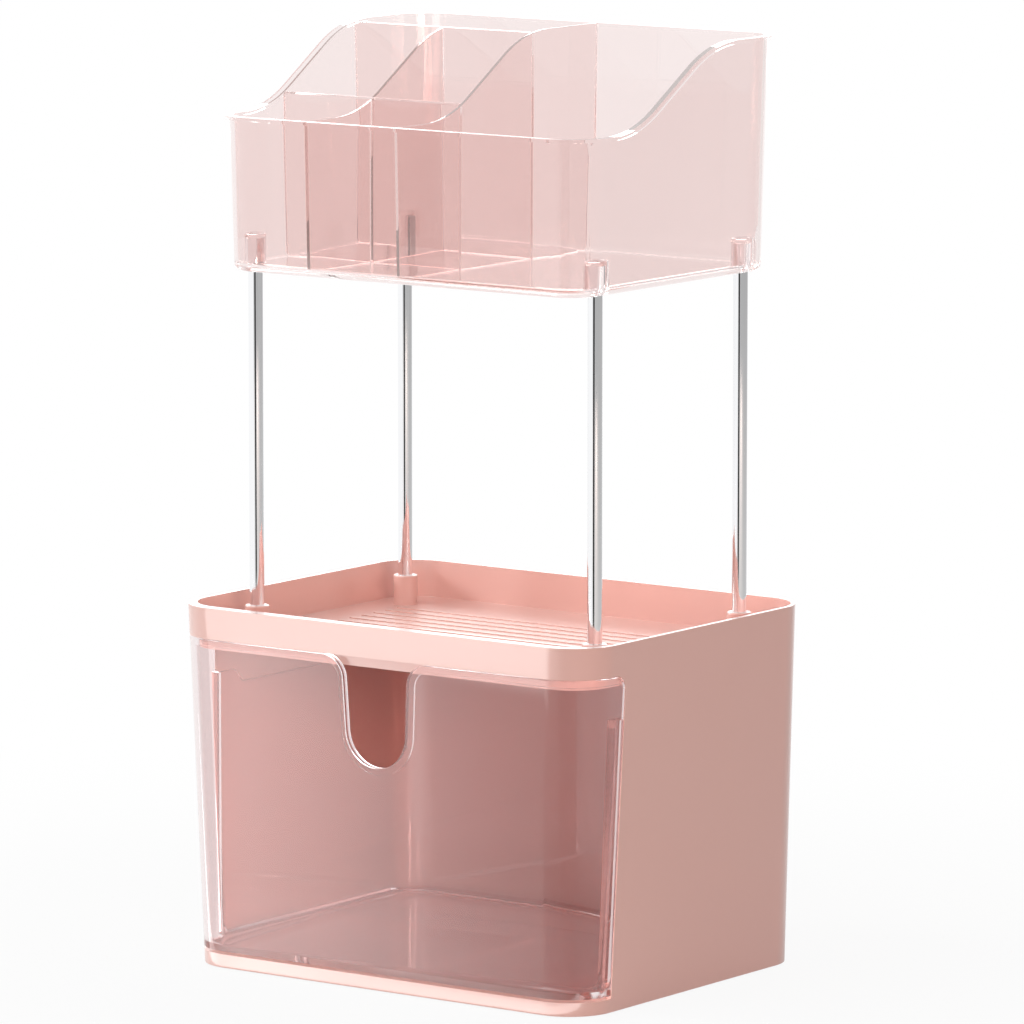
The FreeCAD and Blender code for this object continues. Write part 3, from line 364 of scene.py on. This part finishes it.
def area_lamp(name, width, height, power, colour=(1.0, 1.0, 1.0), unseen=()):
    """A rectangular lamp that the camera and the named kinds of rays don't see."""
    lamp = bpy.data.lights.new(name, "AREA")
    lamp.shape = "RECTANGLE"
    lamp.size = width
    lamp.size_y = height
    lamp.color = colour
    lamp.energy = power
    placed = bpy.data.objects.new(name, lamp)
    bpy.context.scene.collection.objects.link(placed)
    for ray in ("camera", *unseen):
        setattr(placed, f"visible_{ray}", False)
    return placed


def soft_lamp(name, azimuth, elevation, distance, width, height, irradiance,
              colour=(1.0, 1.0, 1.0), unseen=()):
    """A lamp aimed at the middle of the object. A white card facing it looks irradiance bright."""
    object_middle = Vector((0.0, 0.0, 0.22))
    power = irradiance * math.pi * math.pi * distance ** 2
    placed = area_lamp(name, width, height, power, colour, unseen)
    way = bearing(azimuth, elevation)
    placed.location = object_middle + distance * way
    placed.rotation_euler = way.to_track_quat("Z", "Y").to_euler()


soft_lamp("key", azimuth=-70.0, elevation=18.0, distance=3.0, width=0.5, height=0.4,
          irradiance=0.46, colour=(0.92, 1.0, 1.0))
soft_lamp("front_top", azimuth=-25.0, elevation=55.0, distance=2.4, width=1.4, height=1.0,
          irradiance=0.35, colour=(0.88, 1.0, 1.0))
soft_lamp("front_low", azimuth=57.0, elevation=7.0, distance=2.4, width=0.9, height=0.5,
          irradiance=0.28, colour=(1.0, 0.80, 0.71), unseen=("glossy",))
soft_lamp("front_fill", azimuth=8.0, elevation=4.0, distance=2.4, width=0.8, height=0.4,
          irradiance=0.045, colour=(1.0, 0.85, 0.80), unseen=("glossy",))
soft_lamp("back_top", azimuth=205.0, elevation=24.0, distance=2.4, width=1.8, height=0.9,
          irradiance=0.35)
soft_lamp("back_low", azimuth=216.0, elevation=6.0, distance=2.4, width=1.6, height=0.5,
          irradiance=0.04, unseen=("diffuse", "transmission"))

table_width, table_length, table_glow = 0.90, 0.89, 4.0
table = area_lamp("light_table", table_width, table_length, unseen=("diffuse", "transmission"),
                  power=table_glow * math.pi * table_width * table_length)
table.location = (-0.30, -0.5405, 0.0015)
table.rotation_euler = (math.pi, 0.0, 0.0)
table.data.use_nodes = True
glow = table.data.node_tree
glow.nodes.clear()
spot = Signal(glow, glow.nodes.new("ShaderNodeNewGeometry").outputs["Parametric"])
right = spot.node("ShaderNodeSeparateXYZ", {}, {0: spot}, output="X")
forward = spot.node("ShaderNodeSeparateXYZ", {}, {0: spot}, output="Y")
# Aside grows rightward and forward, at a right angle to the slanting band.
aside = 0.7065 * right + 0.5518 * forward - 0.0065
slanting_band = fading(aside, 0.46, 0.52, 0.0, 1.0) * fading(aside, 0.49, 0.72, 1.0, 0.05)
far_strip = fading(forward, 0.655, 0.734, 0.0, 0.9) * fading(right, 0.40, 0.75, 1.0, 0.0)
near_strip = fading(forward, 0.016, 0.022, 0.78, 0.0)
shine = spot.node("ShaderNodeEmission", {}, {
    "Color": (1.0, 1.0, 1.0, 1.0),
    "Strength": either(either(slanting_band, far_strip), near_strip)})
glow.links.new(shine.socket, glow.nodes.new("ShaderNodeOutputLight").inputs["Surface"])

card_width, card_height, card_distance, card_middle = 0.46, 0.9, 1.2, Vector((0.0, 0.0, 0.46))
card_way = bearing(22.0, 0.0)
facing_object = card_way.to_track_quat("Z", "Y").to_matrix().to_4x4()
card_placing = Matrix.Translation(card_middle + card_distance * card_way) @ facing_object
place, finish = new_material("dark_card")
felt = finish(place.node("ShaderNodeBsdfDiffuse", {}, {"Color": (0.03, 0.03, 0.03, 1.0)}))
card = studio_sheet("dark_card", card_width, card_height, card_placing, felt)
for kind in ("camera", "diffuse", "transmission", "shadow"):
    setattr(card, f"visible_{kind}", False)

lens = bpy.data.cameras.new("camera")
lens.lens = 285.6
lens.sensor_width = 36.0
lens.clip_end = 50.0
camera = bpy.data.objects.new("camera", lens)
bpy.context.scene.collection.objects.link(camera)
view_centre, view_distance = Vector((0.01277, 0.0, 0.23364)), 4.1073
view_way = bearing(36.10, 8.25)
camera.location = view_centre + view_distance * view_way
camera.rotation_euler = view_way.to_track_quat("Z", "Y").to_euler()

scene = bpy.context.scene
scene.camera = camera
scene.view_settings.view_transform = "Standard"
scene.cycles.max_bounces = 40
scene.cycles.diffuse_bounces = 8
scene.cycles.glossy_bounces = 32
scene.cycles.transmission_bounces = 32
scene.cycles.transparent_max_bounces = 48
